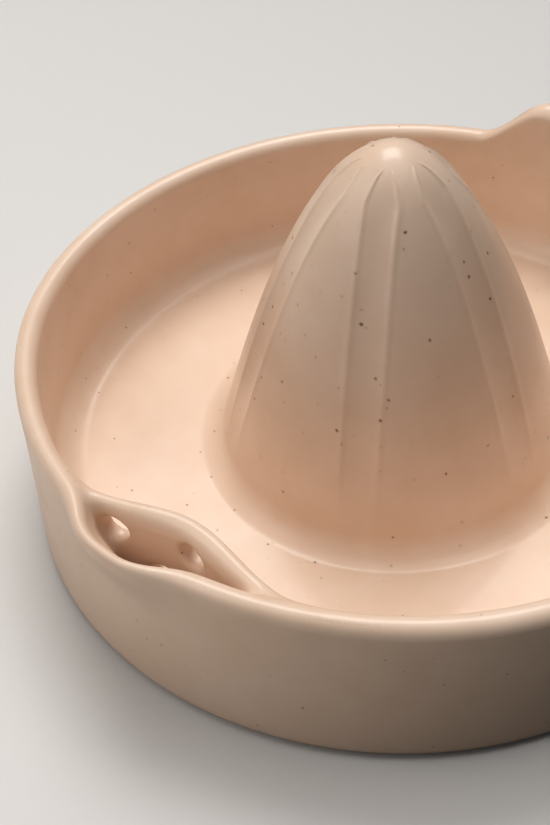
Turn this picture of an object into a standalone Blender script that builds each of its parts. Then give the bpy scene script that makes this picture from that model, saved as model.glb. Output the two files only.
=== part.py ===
"""Ceramic citrus juicer: a shallow round dish with a ribbed juicing cone in its middle, a pouring
lip pulled from the wall, a pierced strainer wall behind the lip and a short handle opposite it.

The pieces are the ones a potter makes and joins before firing. Sizes are in metres, +Z is up, the
lip points along -X and the handle along +X. Bearings are angles about the dish's axis, from +X.
"""
import math

import bmesh
import bpy
from mathutils import Matrix, Vector

# Dish
RIM_RADIUS = 0.0700
RIM_HEIGHT = 0.0335
BASE_RADIUS = 0.0695
WALL_THICKNESS = 0.0046
RIM_INNER_ROUND = 0.0023
RIM_OUTER_ROUND_HEIGHT = 0.0023
FLOOR_THICKNESS = 0.0053
BASE_MARGIN_HEIGHT = 0.0010
BASE_EDGE_RADIUS = 0.0018
DISH_FILLET_RADIUS = 0.0060

# Foot ring under the dish, left unglazed
FOOT_HEIGHT = 0.0020
FOOT_WIDTH = 0.0050
FOOT_INSET = 0.0080
FOOT_EDGE_RADIUS = 0.0004
FOOT_GROOVE = 0.0008

# Pouring lip, pulled out of the top of the wall, which is pinched inwards on both sides of it
LIP_BEARING = math.radians(180.0)
LIP_REACH = 0.0015
LIP_INNER_REACH = 0.0037
LIP_DEPTH = 0.0130
LIP_ANGLE = math.radians(8.6)
PINCH_LEFT = 0.0019
PINCH_RIGHT = 0.0012
PINCH_INNER_SHARE = 0.55
PINCH_ANGLE = math.radians(46.0)
PINCH_CHANGE_ANGLE = math.radians(10.0)

# Juicing cone, open underneath
CONE_RADIUS = 0.0335
CONE_HEIGHT = 0.0631
CONE_TAPER = 0.520
CONE_WALL = 0.0050
CONE_TIP_WALL = 0.0070
CONE_FILLET_RADIUS = 0.0040
FLOOR_OPENING_LEDGE = 0.0010
FLUTE_COUNT = 6
FLUTE_BEARING = math.radians(28.0)
FLUTE_HALF_WIDTH = 0.0034
FLUTE_DEPTH = 0.0013
FLUTE_TOP_DROP = 0.0028
FLUTE_TOP_FADE = 0.0040
FLUTE_BOTTOM = 0.0060
FLUTE_BOTTOM_FADE = 0.0300

# Strainer wall, bulging from the dish's wall towards the cone
STRAINER_BEARING = math.radians(186.0)
STRAINER_BULGE = 0.0094
STRAINER_SPREAD_ANGLE = math.radians(26.0)
STRAINER_END_ANGLE = math.radians(20.5)
STRAINER_THICKNESS = 0.0038
STRAINER_CREST_DROP = 0.0020
STRAINER_FILLET_RADIUS = 0.0040
HOLE_DIAMETER = 0.0050
HOLE_PITCH_ANGLE = math.radians(13.6)
HOLE_ROW_PITCH = 0.0075
HOLE_TOP_DROP = 0.0075
HOLE_ROWS = (3, 2)

# Handle, with the rim swept up into it
HANDLE_REACH = 0.0205
HANDLE_WIDTH = 0.0370
HANDLE_THICKNESS = 0.0085
HANDLE_ROOT_WIDTH = 0.0510
HANDLE_ROOT_BOTTOM_WIDTH = 0.0200
HANDLE_ROOT_BOTTOM = 0.0116
HANDLE_FLARE = 0.0110
HANDLE_TIP_ROUND = 0.0130
HANDLE_TIP_WIDTH = 0.0130
HANDLE_TIP_THICKNESS = 0.0030
HANDLE_DROOP = 0.0035
RIM_RISE = 0.0085
RIM_RISE_FOOT = 0.0270
RIM_RISE_CROWN = 0.0130
RIM_RISE_START = 0.0176

# Clearance between two pieces that touch
JOINT_GAP = 0.0003

# Places that follow from the sizes above
FLOOR_UNDERSIDE = FOOT_HEIGHT + JOINT_GAP
FLOOR_TOP = FLOOR_UNDERSIDE + FLOOR_THICKNESS
RIM_OUTER_ROUND = WALL_THICKNESS - RIM_INNER_ROUND
RIM_CROWN_RADIUS = RIM_RADIUS - RIM_OUTER_ROUND
DISH_AXIS_X = (LIP_REACH - HANDLE_REACH) / 2

# Steps of the turned surfaces
ARC_STEP = math.radians(22.5)
LIP_SECTOR = math.radians(24.0)
HANDLE_ROOT_ANGLE = math.asin(HANDLE_ROOT_WIDTH / 2 / RIM_RADIUS)
LIP_STEPS = 10
HANDLE_STEPS = 6
HANDLE_STATIONS = 7
HANDLE_SEAT_STEPS = 2
SIDE_STEPS = 20
FOOT_STEPS = 64
FLUTE_STEPS = 16
CONE_ROWS = 14
HOLLOW_ROWS = 6
STRAINER_STEPS = 20
HOLE_SIDES = 16
MERGE_DISTANCE = 1e-6
SHARP_ANGLE = math.radians(40.0)


def smooth_step(value, low, high):
    """Rise smoothly from 0 at low to 1 at high."""
    part = min(max((value - low) / (high - low), 0.0), 1.0)
    return part * part * (3.0 - 2.0 * part)


def mix(first, last, part):
    return first + (last - first) * part


def arc(centre_r, centre_z, radius, start, end, radius_up=None):
    """Points of an arc in the (radius, height) plane, both ends included, oval with a radius_up."""
    steps = max(2, math.ceil(abs(end - start) / ARC_STEP))
    angles = [mix(start, end, step / steps) for step in range(steps + 1)]
    up = radius if radius_up is None else radius_up
    return [(centre_r + radius * math.cos(a), centre_z + up * math.sin(a)) for a in angles]


def bearing_from(point, bearing):
    """Signed angle about the dish's axis from a bearing to a point."""
    angle = math.atan2(point.y, point.x) - bearing
    return math.atan2(math.sin(angle), math.cos(angle))


def wall_outer_radius(height):
    """Outer face of the plain wall, which leans out a little towards the rim."""
    part = (height - BASE_MARGIN_HEIGHT) / (RIM_HEIGHT - BASE_MARGIN_HEIGHT)
    return mix(BASE_RADIUS, RIM_RADIUS, part)


def wall_inner_radius(height):
    return wall_outer_radius(height) - WALL_THICKNESS


def spin_profile(bm, profile, start, sectors, closed):
    """Turn a profile about the Z axis through sectors of (angle, steps), and join its ends."""
    turn = Matrix.Rotation(start, 3, "Z")
    verts = [bm.verts.new(turn @ Vector((r, 0.0, z))) for r, z in profile]
    pairs = list(zip(verts, verts[1:]))
    if closed:
        pairs.append((verts[-1], verts[0]))
    line = verts + [bm.edges.new(pair) for pair in pairs]
    for angle, steps in sectors:
        turned = bmesh.ops.spin(bm, geom=line, cent=(0, 0, 0), axis=(0, 0, 1), angle=angle, steps=steps)
        line = turned["geom_last"]
    bmesh.ops.remove_doubles(bm, verts=bm.verts, dist=MERGE_DISTANCE)
    bmesh.ops.recalc_face_normals(bm, faces=bm.faces)


def make_material(name, colour, roughness):
    material = bpy.data.materials.new(name)
    material.use_nodes = True
    shader = material.node_tree.nodes["Principled BSDF"]
    shader.inputs["Base Color"].default_value = (*colour, 1.0)
    shader.inputs["Roughness"].default_value = roughness
    shader.inputs["Metallic"].default_value = 0.0
    return material


def add_piece(name, bm, material, parent, height=0.0):
    """Make an object of a finished bmesh, standing at a height on the dish's axis."""
    mesh = bpy.data.meshes.new(name)
    bm.to_mesh(mesh)
    bm.free()
    mesh.shade_smooth()
    mesh.set_sharp_from_angle(angle=SHARP_ANGLE)
    mesh.materials.append(material)
    piece = bpy.data.objects.new(name, mesh)
    piece.parent = parent
    piece.location.z = height
    bpy.context.scene.collection.objects.link(piece)
    return piece


def add_guide(name, bm, material, parent):
    """Make a cutting solid, which is no piece of the juicer."""
    guide = add_piece(name, bm, material, parent)
    guide.hide_render = True
    guide.display_type = "WIRE"
    return guide


def add_boolean(piece, operation, guide):
    modifier = piece.modifiers.new(guide.name, "BOOLEAN")
    modifier.operation = operation
    modifier.solver = "EXACT"
    modifier.object = guide


def lip_pinch(offset, height, wall_part):
    """How far the wall leans in at an angle from the lip's middle, its outer face more."""
    side = smooth_step(offset, -PINCH_CHANGE_ANGLE, PINCH_CHANGE_ANGLE)
    pinch = mix(PINCH_LEFT, PINCH_RIGHT, side) * mix(PINCH_INNER_SHARE, 1.0, wall_part)
    up = min(max((height - FLOOR_TOP) / (RIM_HEIGHT - FLOOR_TOP), 0.0), 1.0)
    return pinch * math.exp(-((offset / PINCH_ANGLE) ** 4)) * math.sqrt(up)


def pull_lip(bm):
    """Draw the top of the wall out into the lip, its inner face further, and pinch it beside the lip."""
    for vert in bm.verts:
        radius = vert.co.xy.length
        if radius < CONE_RADIUS:
            continue
        offset = bearing_from(vert.co, LIP_BEARING)
        wall_part = min(max((radius - wall_inner_radius(vert.co.z)) / WALL_THICKNESS, 0.0), 1.0)
        beak = math.exp(-abs(offset / LIP_ANGLE) ** 3)
        beak *= smooth_step(vert.co.z, RIM_HEIGHT - LIP_DEPTH, RIM_HEIGHT)
        reach = mix(LIP_INNER_REACH, LIP_REACH, wall_part)
        pull = mix(-lip_pinch(offset, vert.co.z, wall_part), reach, beak)
        vert.co.xy *= (radius + pull) / radius


def pinch_strainer(bm):
    """Move the strainer wall in with the inner face of the wall that it stands against."""
    for vert in bm.verts:
        radius = vert.co.xy.length
        pinch = lip_pinch(bearing_from(vert.co, LIP_BEARING), vert.co.z, 0.0)
        vert.co.xy *= (radius - pinch) / radius


def raise_rim(bm):
    """Sweep the top of the wall up where it runs into the handle."""
    for vert in bm.verts:
        if vert.co.x > 0.0:
            crown_part = 1.0 - smooth_step(abs(vert.co.y), RIM_RISE_CROWN, RIM_RISE_FOOT)
            height_part = smooth_step(vert.co.z, RIM_RISE_START, RIM_HEIGHT)
            vert.co.z += RIM_RISE * crown_part * height_part


def rim_rounds(gap):
    """Outer and inner rounding of the rim, at a gap from its surface, meeting at the crown."""
    outer_centre = RIM_HEIGHT - RIM_OUTER_ROUND_HEIGHT
    outer_up = RIM_OUTER_ROUND_HEIGHT + gap
    outer = arc(RIM_CROWN_RADIUS, outer_centre, RIM_OUTER_ROUND + gap, 0.0, math.pi / 2, outer_up)
    inner_centre = RIM_HEIGHT - RIM_INNER_ROUND
    inner = arc(RIM_CROWN_RADIUS, inner_centre, RIM_INNER_ROUND + gap, math.pi / 2, math.pi)
    return outer, inner


def wall_rows():
    """Heights at which the wall has a ring of points between its foot and its rim."""
    return [RIM_RISE_START] + [RIM_HEIGHT - LIP_DEPTH * part for part in (1.0, 0.8, 0.6, 0.4)]


def dish_profile():
    """Cross-section of floor, wall and rim as one closed line, from the opening outwards."""
    opening = CONE_RADIUS - CONE_WALL - FLOOR_OPENING_LEDGE
    recess = BASE_RADIUS - FOOT_INSET + FOOT_GROOVE
    margin = recess + FLOOR_UNDERSIDE - BASE_MARGIN_HEIGHT
    edge_height = BASE_MARGIN_HEIGHT + BASE_EDGE_RADIUS
    outer_round, inner_round = rim_rounds(0.0)
    fillet_top = FLOOR_TOP + DISH_FILLET_RADIUS
    fillet_centre = wall_inner_radius(fillet_top) - DISH_FILLET_RADIUS
    wall_heights = wall_rows()

    profile = [(opening, FLOOR_UNDERSIDE), (recess, FLOOR_UNDERSIDE), (margin, BASE_MARGIN_HEIGHT)]
    profile += arc(BASE_RADIUS - BASE_EDGE_RADIUS, edge_height, BASE_EDGE_RADIUS, -math.pi / 2, 0.0)
    profile += [(wall_outer_radius(z), z) for z in wall_heights]
    profile += outer_round + inner_round[1:]
    profile += [(wall_inner_radius(z), z) for z in reversed(wall_heights)]
    profile += arc(fillet_centre, fillet_top, DISH_FILLET_RADIUS, 0.0, -math.pi / 2)
    profile += [(CONE_RADIUS + CONE_FILLET_RADIUS, FLOOR_TOP), (opening, FLOOR_TOP)]
    return profile


def dish_sectors():
    """Turning steps, finest over the lip and the handle's root, with one more beside the root."""
    handle_sector = HANDLE_ROOT_ANGLE * (HANDLE_STEPS + 1) / HANDLE_STEPS
    side = math.pi - LIP_SECTOR - handle_sector
    half_turn = [(LIP_SECTOR, LIP_STEPS), (side, SIDE_STEPS), (handle_sector, HANDLE_STEPS + 1)]
    return half_turn + half_turn[::-1]


def build_dish(material, parent):
    bm = bmesh.new()
    spin_profile(bm, dish_profile(), LIP_BEARING, dish_sectors(), closed=True)
    pull_lip(bm)
    raise_rim(bm)
    return add_piece("dish", bm, material, parent)


def build_foot_ring(material, parent):
    outer = BASE_RADIUS - FOOT_INSET
    inner = outer - FOOT_WIDTH
    edge = FOOT_EDGE_RADIUS
    profile = arc(inner + edge, edge, edge, -math.pi, -math.pi / 2)
    profile += arc(outer - edge, edge, edge, -math.pi / 2, 0.0)
    profile += [(outer, FOOT_HEIGHT), (inner, FOOT_HEIGHT)]
    bm = bmesh.new()
    spin_profile(bm, profile, 0.0, [(math.tau, FOOT_STEPS)], closed=True)
    return add_piece("foot_ring", bm, material, parent)


def cone_radius(height):
    """Outer radius of the plain cone at a height above the dish's floor."""
    taper = max(1.0 - height / CONE_HEIGHT, 0.0) ** CONE_TAPER
    below = max(CONE_FILLET_RADIUS - height, 0.0)
    fillet = CONE_FILLET_RADIUS - math.sqrt(CONE_FILLET_RADIUS**2 - below**2)
    return CONE_RADIUS * taper + fillet


def cone_profile():
    """Skin of the cone from its tip down the outside and up the hollow inside."""
    parts = [(1.0 - row / CONE_ROWS) ** 2 for row in range(CONE_ROWS)]
    heights = [CONE_HEIGHT * (1.0 - part) for part in parts]
    heights = [h for h in heights if h > CONE_FILLET_RADIUS]
    skirt = [CONE_FILLET_RADIUS * part for part in (1.0, 0.55, 0.25)] + [JOINT_GAP]
    outside = [(cone_radius(h), h) for h in reversed(heights)] + [(cone_radius(h), h) for h in skirt]

    hollow_radius = CONE_RADIUS - CONE_WALL
    hollow_height = CONE_HEIGHT - CONE_TIP_WALL
    inside = []
    for row in range(HOLLOW_ROWS + 1):
        part = (1.0 - row / HOLLOW_ROWS) ** 2
        height = mix(JOINT_GAP, hollow_height, 1.0 - part)
        inside.append((hollow_radius * part**CONE_TAPER, height))
    return [(0.0, CONE_HEIGHT)] + outside + inside


def cut_flutes(bm):
    """Press the channels between the cone's ribs into its outer skin."""
    for vert in bm.verts:
        radius = vert.co.xy.length
        height = vert.co.z
        if radius < cone_radius(height) - CONE_WALL / 2 or radius == 0.0:
            continue
        pitch = math.tau / FLUTE_COUNT
        offset = bearing_from(vert.co, FLUTE_BEARING)
        offset -= pitch * round(offset / pitch)
        across = radius * offset / FLUTE_HALF_WIDTH
        top = CONE_HEIGHT - FLUTE_TOP_DROP
        fade = 1.0 - smooth_step(height, top - FLUTE_TOP_FADE, top)
        fade *= smooth_step(height, FLUTE_BOTTOM, FLUTE_BOTTOM + FLUTE_BOTTOM_FADE)
        depth = FLUTE_DEPTH * fade * max(1.0 - across**2, 0.0)
        vert.co.xy *= (radius - depth) / radius


def build_cone(material, parent):
    bm = bmesh.new()
    spin_profile(bm, cone_profile(), FLUTE_BEARING, [(math.tau, FLUTE_STEPS * FLUTE_COUNT)], closed=False)
    cut_flutes(bm)
    return add_piece("juicing_cone", bm, material, parent, FLOOR_TOP)


def strainer_section(offset):
    """Cross-section of the strainer wall at an angle from its middle."""
    swell = 0.5 + 0.5 * math.cos(math.pi * offset / STRAINER_SPREAD_ANGLE)
    inset = STRAINER_BULGE * swell
    crest = RIM_HEIGHT - STRAINER_CREST_DROP
    half = STRAINER_THICKNESS / 2
    bottom = FLOOR_TOP + JOINT_GAP
    fillet_top = FLOOR_TOP + STRAINER_FILLET_RADIUS

    inside = []
    for height in (bottom, FLOOR_TOP + STRAINER_FILLET_RADIUS * 0.3, fillet_top, (fillet_top + crest) / 2):
        below = max(fillet_top - height, 0.0)
        fillet = STRAINER_FILLET_RADIUS - math.sqrt(STRAINER_FILLET_RADIUS**2 - below**2)
        inside.append((wall_inner_radius(height) - inset - fillet, height))
    crown_centre = wall_inner_radius(crest) - inset + half
    crown = arc(crown_centre, crest - half, half, math.pi, 0.0)
    outside = [(wall_inner_radius(h) - inset + STRAINER_THICKNESS, h) for h in (crest / 2, bottom)]
    return inside + crown + outside


def dish_inside(material, parent):
    """Solid that fills the inside of the plain dish, short of it by the joint gap."""
    fillet_top = FLOOR_TOP + DISH_FILLET_RADIUS
    fillet_centre = wall_inner_radius(fillet_top) - DISH_FILLET_RADIUS
    top = RIM_HEIGHT + RIM_RISE
    heights = [*wall_rows(), RIM_HEIGHT - RIM_INNER_ROUND, RIM_HEIGHT, top]
    profile = [(0.0, top)] + [(wall_inner_radius(z) - JOINT_GAP, z) for z in reversed(heights)]
    profile += arc(fillet_centre, fillet_top, DISH_FILLET_RADIUS - JOINT_GAP, 0.0, -math.pi / 2)
    profile += [(0.0, FLOOR_TOP + JOINT_GAP)]
    bm = bmesh.new()
    spin_profile(bm, profile, LIP_BEARING, dish_sectors(), closed=False)
    pull_lip(bm)
    return add_guide("dish_inside", bm, material, parent)


def strainer_holes(material, parent):
    """Round bars through the strainer wall, in staggered rows."""
    bm = bmesh.new()
    bar = STRAINER_BULGE + STRAINER_THICKNESS + WALL_THICKNESS
    for row, count in enumerate(HOLE_ROWS):
        height = RIM_HEIGHT - HOLE_TOP_DROP - HOLE_ROW_PITCH * row
        for place in range(count):
            bearing = STRAINER_BEARING + HOLE_PITCH_ANGLE * (place - (count - 1) / 2)
            middle = Matrix.Translation((wall_outer_radius(height) - bar / 2, 0.0, height))
            lay = Matrix.Rotation(bearing, 4, "Z") @ middle @ Matrix.Rotation(math.pi / 2, 4, "Y")
            bmesh.ops.create_cone(
                bm, cap_ends=True, segments=HOLE_SIDES, depth=bar, matrix=lay,
                radius1=HOLE_DIAMETER / 2, radius2=HOLE_DIAMETER / 2)
    return add_guide("strainer_holes", bm, material, parent)


def build_strainer(material, parent):
    """Loft the strainer wall from section to section, seat it in the dish and pierce it."""
    bm = bmesh.new()
    loop = []
    for step in range(STRAINER_STEPS + 1):
        offset = mix(-STRAINER_END_ANGLE, STRAINER_END_ANGLE, step / STRAINER_STEPS)
        turn = Matrix.Rotation(STRAINER_BEARING + offset, 3, "Z")
        ring = [bm.verts.new(turn @ Vector((r, 0.0, z))) for r, z in strainer_section(offset)]
        edges = [bm.edges.new(pair) for pair in zip(ring, ring[1:] + ring[:1])]
        if loop:
            bmesh.ops.bridge_loops(bm, edges=loop + edges)
        else:
            bm.faces.new(ring)
        loop = edges
    bm.faces.new(ring)
    bmesh.ops.recalc_face_normals(bm, faces=bm.faces)
    pinch_strainer(bm)
    strainer = add_piece("strainer_wall", bm, material, parent)
    add_boolean(strainer, "INTERSECT", dish_inside(material, parent))
    add_boolean(strainer, "DIFFERENCE", strainer_holes(material, parent))
    return strainer


def handle_narrowing(up):
    """Share of the handle's root width at a height up its section, which runs from -1 to 1."""
    below = max(-up, 0.0)
    return mix(1.0, HANDLE_ROOT_BOTTOM_WIDTH / HANDLE_ROOT_WIDTH, 1.0 - math.sqrt(1.0 - below**2))


def handle_station(reach, across, up):
    """Point of the handle's skin at a reach beyond the wall, across and up running from -1 to 1."""
    flare = (1.0 - min(reach / HANDLE_FLARE, 1.0)) ** 2
    tip_part = min(max(1.0 - (HANDLE_REACH - reach) / HANDLE_TIP_ROUND, 0.0), 1.0)
    width = mix(HANDLE_WIDTH, HANDLE_ROOT_WIDTH, flare)
    tip_round = 1.0 - math.sqrt(1.0 - tip_part**2)
    width = mix(width, HANDLE_TIP_WIDTH, tip_round)
    width *= mix(handle_narrowing(up), 1.0, smooth_step(reach, 0.0, HANDLE_FLARE))
    top = RIM_HEIGHT - HANDLE_DROOP * smooth_step(reach, 0.0, HANDLE_REACH)
    underside = mix(RIM_HEIGHT - HANDLE_DROOP - HANDLE_THICKNESS, HANDLE_ROOT_BOTTOM, flare)

    round_part = smooth_step(reach, 0.0, HANDLE_REACH)
    side = across * math.sqrt(1.0 - round_part * up**2 / 2.0)
    rise = up * math.sqrt(1.0 - round_part * across**2 / 2.0)
    thickness = mix(top - underside, HANDLE_TIP_THICKNESS, tip_round)
    height = (top + underside) / 2 + thickness / 2 * rise
    return Vector((RIM_RADIUS + reach, width / 2 * side, height))


def handle_seat():
    """Line up the outer face of the wall and over the rim's edge, clear of both by the joint gap."""
    round_start = RIM_HEIGHT - RIM_OUTER_ROUND_HEIGHT
    heights = [mix(HANDLE_ROOT_BOTTOM, round_start, part) for part in (0.0, 0.3, 0.6, 0.85)]
    seat = [(wall_outer_radius(z) + JOINT_GAP, z) for z in heights]
    return seat + rim_rounds(JOINT_GAP)[0][:HANDLE_SEAT_STEPS + 1]


def build_handle(material, parent):
    """Draw the handle out of a patch that follows the outer face of the wall."""
    seat = handle_seat()
    columns, rows = 2 * HANDLE_STEPS, len(seat) - 1
    bm = bmesh.new()
    row_of = bm.verts.layers.int.new("row")
    column_of = bm.verts.layers.int.new("column")
    crease = bm.edges.layers.float.new("crease_edge")
    bmesh.ops.create_grid(bm, x_segments=columns, y_segments=rows, size=1.0)
    for vert in bm.verts:
        vert[row_of] = round((vert.co.y + 1.0) / 2.0 * rows)
        vert[column_of] = round((vert.co.x + 1.0) / 2.0 * columns)
        radius, height = seat[vert[row_of]]
        across = (2.0 * vert[column_of] / columns - 1.0) * handle_narrowing(2.0 * vert[row_of] / rows - 1.0)
        vert.co = Matrix.Rotation(HANDLE_ROOT_ANGLE * across, 3, "Z") @ Vector((radius, 0.0, height))
    for edge in bm.edges:
        edge[crease] = 1.0 if edge.is_boundary else 0.0

    patch = [*bm.verts, *bm.edges, *bm.faces]
    for number in range(1, HANDLE_STATIONS + 1):
        patch = bmesh.ops.extrude_face_region(bm, geom=patch)["geom"]
        reach = HANDLE_REACH * math.sin(math.pi / 2 * number / HANDLE_STATIONS)
        for vert in (item for item in patch if isinstance(item, bmesh.types.BMVert)):
            across = 2.0 * vert[column_of] / columns - 1.0
            up = 2.0 * vert[row_of] / rows - 1.0
            vert.co = handle_station(reach, across, up)
    raise_rim(bm)
    bmesh.ops.recalc_face_normals(bm, faces=bm.faces)
    handle = add_piece("handle", bm, material, parent)
    subdivision = handle.modifiers.new("rounding", "SUBSURF")
    subdivision.levels = 1
    subdivision.render_levels = 1
    return handle


def clear_scene():
    for old in list(bpy.data.objects):
        bpy.data.objects.remove(old, do_unlink=True)


def main():
    clear_scene()
    glaze_colour = (0.80, 0.60, 0.46)
    body_colour = (0.52, 0.38, 0.28)
    axis = bpy.data.objects.new("dish_axis", None)
    axis.location.x = DISH_AXIS_X
    bpy.context.scene.collection.objects.link(axis)

    build_foot_ring(make_material("bare_stoneware", body_colour, 0.85), axis)
    build_dish(make_material("dish_glaze", glaze_colour, 0.42), axis)
    build_cone(make_material("cone_glaze", glaze_colour, 0.42), axis)
    build_strainer(make_material("strainer_glaze", glaze_colour, 0.42), axis)
    build_handle(make_material("handle_glaze", glaze_colour, 0.42), axis)
    bpy.context.view_layer.update()


main()
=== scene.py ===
"""Looks of the ceramic citrus juicer: a thrown dish with a pulled lip, a hollow fluted cone, a
pierced strainer wall and a short handle under one satin glaze, and a bare foot ring.

Lengths are in metres, +Z is up, the lip points along -X and the handle along +X. Bearings are
angles about the dish's axis, from +X. Shapes are worked out about that axis and set in place last.
"""
import logging
import math
from dataclasses import dataclass
from enum import Enum
from typing import Protocol

import bmesh
import bpy
import numpy as np
from mathutils import Matrix, Vector
from mathutils.bvhtree import BVHTree
from mathutils.interpolate import poly_3d_calc


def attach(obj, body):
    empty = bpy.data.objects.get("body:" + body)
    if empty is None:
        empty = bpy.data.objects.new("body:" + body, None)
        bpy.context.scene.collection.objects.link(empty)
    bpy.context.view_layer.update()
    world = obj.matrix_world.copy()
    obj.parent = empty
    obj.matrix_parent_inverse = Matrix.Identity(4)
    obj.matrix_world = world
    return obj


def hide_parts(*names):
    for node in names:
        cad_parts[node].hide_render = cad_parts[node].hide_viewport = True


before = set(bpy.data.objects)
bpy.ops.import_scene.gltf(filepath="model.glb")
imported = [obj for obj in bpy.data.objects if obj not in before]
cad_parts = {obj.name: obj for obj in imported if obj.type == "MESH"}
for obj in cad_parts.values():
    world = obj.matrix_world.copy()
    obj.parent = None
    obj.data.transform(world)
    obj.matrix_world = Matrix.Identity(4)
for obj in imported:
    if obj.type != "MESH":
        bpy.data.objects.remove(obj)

Colour = tuple[float, float, float]
Line = list[tuple[float, float]]
Sectors = list[tuple[float, int]]

MERGE_DISTANCE = 1e-6
SHARP_ANGLE = math.radians(40.0)
MM = 0.001
PATCH_FLOOR = 43.0 * MM

log = logging.getLogger("juicer")


class Slot(Enum):
    """Material slots of the record."""

    DISH = "dish_glaze"
    CONE = "cone_glaze"
    STRAINER = "strainer_glaze"
    HANDLE = "handle_glaze"
    FOOT = "bare_stoneware"


class Node(Enum):
    """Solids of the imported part."""

    DISH = "dish"
    CONE = "juicing_cone"
    STRAINER = "strainer_wall"
    HANDLE = "handle"
    FOOT = "foot_ring"


def smooth_step(value: float | np.ndarray, low: float, high: float) -> float | np.ndarray:
    """Rise smoothly from 0 at low to 1 at high, for one number or an array."""
    part = np.clip((value - low) / (high - low), 0.0, 1.0)
    return part * part * (3.0 - 2.0 * part)


def mix(first, last, part):
    """Go a part of the way from first to last."""
    return first + (last - first) * part


def turn_between(angle: np.ndarray, bearing: float) -> np.ndarray:
    """Signed angle from a bearing to each angle, between half turns."""
    return np.arctan2(np.sin(angle - bearing), np.cos(angle - bearing))


def arc(
    centre: tuple[float, float], radii: tuple[float, float], start: float, end: float, steps: int
) -> Line:
    """Points (radius, height) of an upright oval's arc between two angles in degrees, both ends included."""
    angles = [math.radians(mix(start, end, step / steps)) for step in range(steps + 1)]
    return [(centre[0] + radii[0] * math.cos(a), centre[1] + radii[1] * math.sin(a)) for a in angles]


def even_steps(first: float, last: float, length: float) -> list[float]:
    """Values from first to last, both included, at most a length apart."""
    steps = max(1, math.ceil(abs(last - first) / length))
    return [mix(first, last, step / steps) for step in range(steps + 1)]


def rows_of(items: bpy.types.bpy_prop_collection, field: str) -> np.ndarray:
    """Vectors in a field of every item, one row each."""
    flat = np.empty(len(items) * 3, np.float32)
    items.foreach_get(field, flat)
    return flat.reshape(-1, 3).astype(float)


def points_of(mesh: bpy.types.Mesh) -> np.ndarray:
    """Places of a mesh's vertices, one row each."""
    return rows_of(mesh.vertices, "co")


def set_points(mesh: bpy.types.Mesh, points: np.ndarray) -> None:
    """Move a mesh's vertices to the rows of points."""
    mesh.vertices.foreach_set("co", points.astype(np.float32).ravel())
    mesh.update()


def normals_of(mesh: bpy.types.Mesh) -> np.ndarray:
    """Normals of a mesh's vertices, one row each."""
    return rows_of(mesh.vertex_normals, "vector")


def place(name: str, data: bpy.types.ID) -> bpy.types.Object:
    """Place an object with its data in the scene."""
    thing = bpy.data.objects.new(name, data)
    bpy.context.scene.collection.objects.link(thing)
    return thing


def to_mesh(bm: bmesh.types.BMesh, name: str) -> bpy.types.Mesh:
    """Close a bmesh into a mesh of that name."""
    mesh = bpy.data.meshes.new(name)
    bm.to_mesh(mesh)
    bm.free()
    return mesh


def spin_line(line: Line, start: float, sectors: Sectors, closed: bool) -> bmesh.types.BMesh:
    """Turn a cross-section about the Z axis, and close what meets.

    Args:
        line: Cross-section as (radius, height).
        start: Bearing of the first cross-section.
        sectors: Angle and number of steps of each sector, in order.
        closed: Whether the line's last point joins its first.

    Returns:
        The turned shape, with its faces outwards where it is closed.
    """
    bm = bmesh.new()
    turn = Matrix.Rotation(start, 3, "Z")
    verts = [bm.verts.new(turn @ Vector((radius, 0.0, height))) for radius, height in line]
    pairs = list(zip(verts, verts[1:]))
    if closed:
        pairs.append((verts[-1], verts[0]))
    geometry = verts + [bm.edges.new(pair) for pair in pairs]
    whole = len(sectors) == 1 and math.isclose(sectors[0][0], math.tau)
    for angle, steps in sectors:
        turned = bmesh.ops.spin(
            bm, geom=geometry, cent=(0, 0, 0), axis=(0, 0, 1), angle=angle, steps=steps, use_merge=whole)
        geometry = turned["geom_last"]
    bmesh.ops.remove_doubles(bm, verts=bm.verts, dist=MERGE_DISTANCE)
    bmesh.ops.recalc_face_normals(bm, faces=bm.faces)
    return bm


def loft_rings(rings: list[list[Vector]]) -> bmesh.types.BMesh:
    """Bridge closed rings of points one after another and cap both ends.

    Args:
        rings: Rings of equally many points, in order.

    Returns:
        The closed shape.
    """
    bm = bmesh.new()
    loop: list = []
    for ring in rings:
        verts = [bm.verts.new(point) for point in ring]
        edges = [bm.edges.new(pair) for pair in zip(verts, verts[1:] + verts[:1])]
        if loop:
            bmesh.ops.bridge_loops(bm, edges=loop + edges)
        else:
            bm.faces.new(verts)
        loop = edges
    bm.faces.new(verts)
    bmesh.ops.recalc_face_normals(bm, faces=bm.faces)
    return bm


def after_modifiers(mesh: bpy.types.Mesh, modifiers: list[tuple[str, dict]]) -> bpy.types.Mesh:
    """Run modifiers on a mesh and keep the result.

    Args:
        mesh: Mesh to work on.
        modifiers: Kind and settings of each modifier, in order.

    Returns:
        The new mesh.
    """
    holder = place("work", mesh)
    for kind, settings in modifiers:
        modifier = holder.modifiers.new(kind.lower(), kind)
        for key, value in settings.items():
            setattr(modifier, key, value)
    graph = bpy.context.evaluated_depsgraph_get()
    graph.update()
    result = bpy.data.meshes.new_from_object(holder.evaluated_get(graph))
    bpy.data.objects.remove(holder)
    return result


def joined(meshes: list[bpy.types.Mesh], name: str) -> bpy.types.Mesh:
    """One mesh of several, which stay separate shells in it."""
    bm = bmesh.new()
    for mesh in meshes:
        bm.from_mesh(mesh)
    return to_mesh(bm, name)


class Clay(Protocol):
    """Clay that can be measured from any point."""

    def sample(self, points: np.ndarray) -> tuple[np.ndarray, np.ndarray]:
        """Gap from each point to the clay's skin, below zero inside, and the skin's normal there."""


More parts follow.
